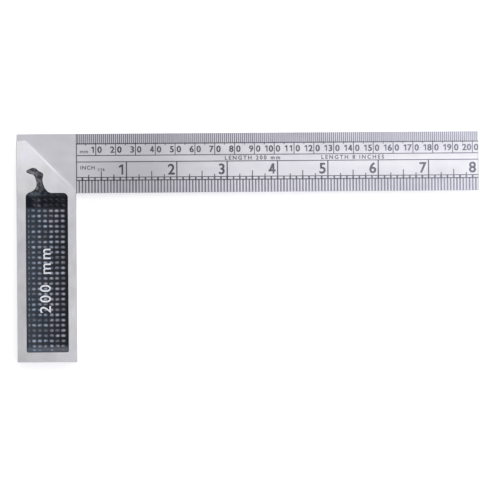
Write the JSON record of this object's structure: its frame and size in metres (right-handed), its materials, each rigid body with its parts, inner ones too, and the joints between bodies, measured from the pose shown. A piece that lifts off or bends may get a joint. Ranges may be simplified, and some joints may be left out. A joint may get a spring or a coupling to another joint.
{
  "type": "try square",
  "caption": "Flat try square: graduated steel blade set at a right angle in a mitred aluminium stock with black pimpled grip inlays.",
  "frame": {"origin": "inner corner of the square, half way through the blade's thickness: the stock's working face is x = 0 and the blade's inner edge is y = 0", "axes": "+X along the blade towards its free end, +Y across the blade away from the stock's foot, +Z out of the front face; the square lies flat"},
  "size_m": [0.2332, 0.115, 0.0126],
  "materials": {
    "stock_aluminium": "ground and lightly brushed",
    "blade_steel": "satin with dark etched scales",
    "rivet_aluminium": "ground flush",
    "grip_plastic": "glossy, moulded with rows of pimples"
  },
  "bodies": {
    "root": {"stock": "stock_aluminium", "blade": "blade_steel", "blade_rivet_1": "rivet_aluminium", "blade_rivet_2": "rivet_aluminium", "blade_rivet_3": "rivet_aluminium", "front_inlay": "grip_plastic", "rear_inlay": "grip_plastic"}
  },
  "joints": []
}
